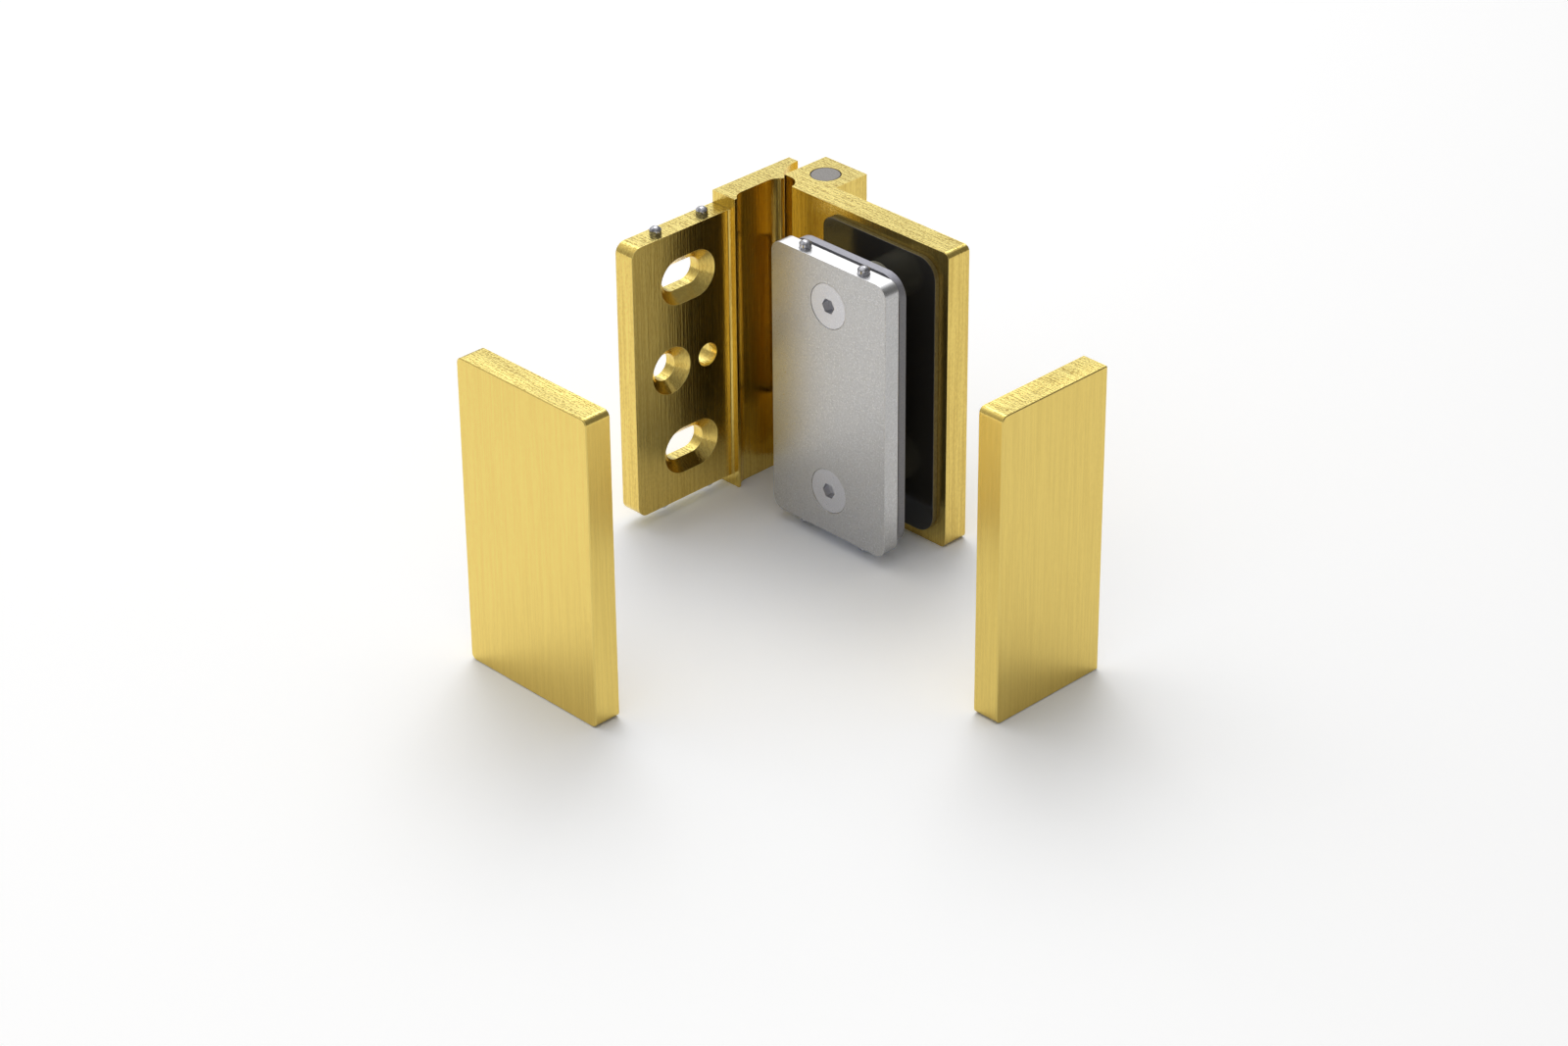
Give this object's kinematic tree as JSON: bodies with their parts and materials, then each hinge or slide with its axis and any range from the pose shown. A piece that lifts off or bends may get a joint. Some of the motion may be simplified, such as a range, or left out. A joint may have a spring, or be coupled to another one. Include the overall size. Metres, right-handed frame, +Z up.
{
  "type": "glass door hinge",
  "caption": "Wall-to-glass door hinge with a screwed wall leaf, a pinned glass leaf with clamp plate, spring catches and separate push-on covers.",
  "frame": {"origin": "on the wall leaf's back face, on the line of its two slots, level with the middle screw hole and half way up the hinge", "axes": "+X out of the wall, +Y along the wall towards the pin and the way the door opens, +Z up along the pin"},
  "size_m": [0.1448, 0.1493, 0.09],
  "materials": {
    "gold_leaf": "brushed gold",
    "gold_cover": "brushed gold, vertical grain",
    "pin_steel": "ground",
    "bush_plastic": "matt black",
    "pad_rubber": "glossy black",
    "liner_plastic": "matt light grey",
    "clamp_metal": "satin",
    "screw_steel": "satin",
    "sleeve_plastic": "natural white",
    "catch_chrome": "polished",
    "spring_steel": "drawn wire"
  },
  "bodies": {
    "wall_side": {"wall_leaf": "gold_leaf", "upper_bush": "bush_plastic", "lower_bush": "bush_plastic", "wall_cover": "gold_cover", "glass_cover": "gold_cover", "wall_upper_outer_spring": "spring_steel", "wall_upper_inner_spring": "spring_steel", "wall_lower_outer_spring": "spring_steel", "wall_lower_inner_spring": "spring_steel"},
    "door_side": {"glass_leaf": "gold_leaf", "hinge_pin": "pin_steel", "glass_pad": "pad_rubber", "clamp_plate": "clamp_metal", "clamp_liner": "liner_plastic", "upper_clamp_screw": "screw_steel", "lower_clamp_screw": "screw_steel", "upper_screw_sleeve": "sleeve_plastic", "lower_screw_sleeve": "sleeve_plastic", "clamp_upper_inner_spring": "spring_steel", "clamp_upper_outer_spring": "spring_steel", "clamp_lower_inner_spring": "spring_steel", "clamp_lower_outer_spring": "spring_steel"},
    "wall_upper_outer_catch": {"wall_upper_outer_catch": "catch_chrome"},
    "wall_upper_inner_catch": {"wall_upper_inner_catch": "catch_chrome"},
    "wall_lower_outer_catch": {"wall_lower_outer_catch": "catch_chrome"},
    "wall_lower_inner_catch": {"wall_lower_inner_catch": "catch_chrome"},
    "clamp_upper_inner_catch": {"clamp_upper_inner_catch": "catch_chrome"},
    "clamp_upper_outer_catch": {"clamp_upper_outer_catch": "catch_chrome"},
    "clamp_lower_inner_catch": {"clamp_lower_inner_catch": "catch_chrome"},
    "clamp_lower_outer_catch": {"clamp_lower_outer_catch": "catch_chrome"}
  },
  "joints": [
    {"name": "leaf_swing", "type": "hinge", "parent": "wall_side", "child": "door_side", "pos_m": [0.015, 0.0444, 0], "axis": [0, 0, 1], "range_deg": [0, 105]},
    {"name": "wall_upper_outer_press", "type": "slide", "parent": "wall_side", "child": "wall_upper_outer_catch", "axis": [0, 0, -1], "range_m": [0, 0.0018], "stiffness_N_per_m": 1500, "springref_m": -0.0015, "deforming": ["wall_upper_outer_spring"]},
    {"name": "wall_upper_inner_press", "type": "slide", "parent": "wall_side", "child": "wall_upper_inner_catch", "axis": [0, 0, -1], "range_m": [0, 0.0018], "stiffness_N_per_m": 1500, "springref_m": -0.0015, "deforming": ["wall_upper_inner_spring"]},
    {"name": "wall_lower_outer_press", "type": "slide", "parent": "wall_side", "child": "wall_lower_outer_catch", "axis": [0, 0, 1], "range_m": [0, 0.0018], "stiffness_N_per_m": 1500, "springref_m": -0.0015, "deforming": ["wall_lower_outer_spring"]},
    {"name": "wall_lower_inner_press", "type": "slide", "parent": "wall_side", "child": "wall_lower_inner_catch", "axis": [0, 0, 1], "range_m": [0, 0.0018], "stiffness_N_per_m": 1500, "springref_m": -0.0015, "deforming": ["wall_lower_inner_spring"]},
    {"name": "clamp_upper_inner_press", "type": "slide", "parent": "door_side", "child": "clamp_upper_inner_catch", "axis": [0, 0, -1], "range_m": [0, 0.0018], "stiffness_N_per_m": 1500, "springref_m": -0.0015, "deforming": ["clamp_upper_inner_spring"]},
    {"name": "clamp_upper_outer_press", "type": "slide", "parent": "door_side", "child": "clamp_upper_outer_catch", "axis": [0, 0, -1], "range_m": [0, 0.0018], "stiffness_N_per_m": 1500, "springref_m": -0.0015, "deforming": ["clamp_upper_outer_spring"]},
    {"name": "clamp_lower_inner_press", "type": "slide", "parent": "door_side", "child": "clamp_lower_inner_catch", "axis": [0, 0, 1], "range_m": [0, 0.0018], "stiffness_N_per_m": 1500, "springref_m": -0.0015, "deforming": ["clamp_lower_inner_spring"]},
    {"name": "clamp_lower_outer_press", "type": "slide", "parent": "door_side", "child": "clamp_lower_outer_catch", "axis": [0, 0, 1], "range_m": [0, 0.0018], "stiffness_N_per_m": 1500, "springref_m": -0.0015, "deforming": ["clamp_lower_outer_spring"]}
  ]
}
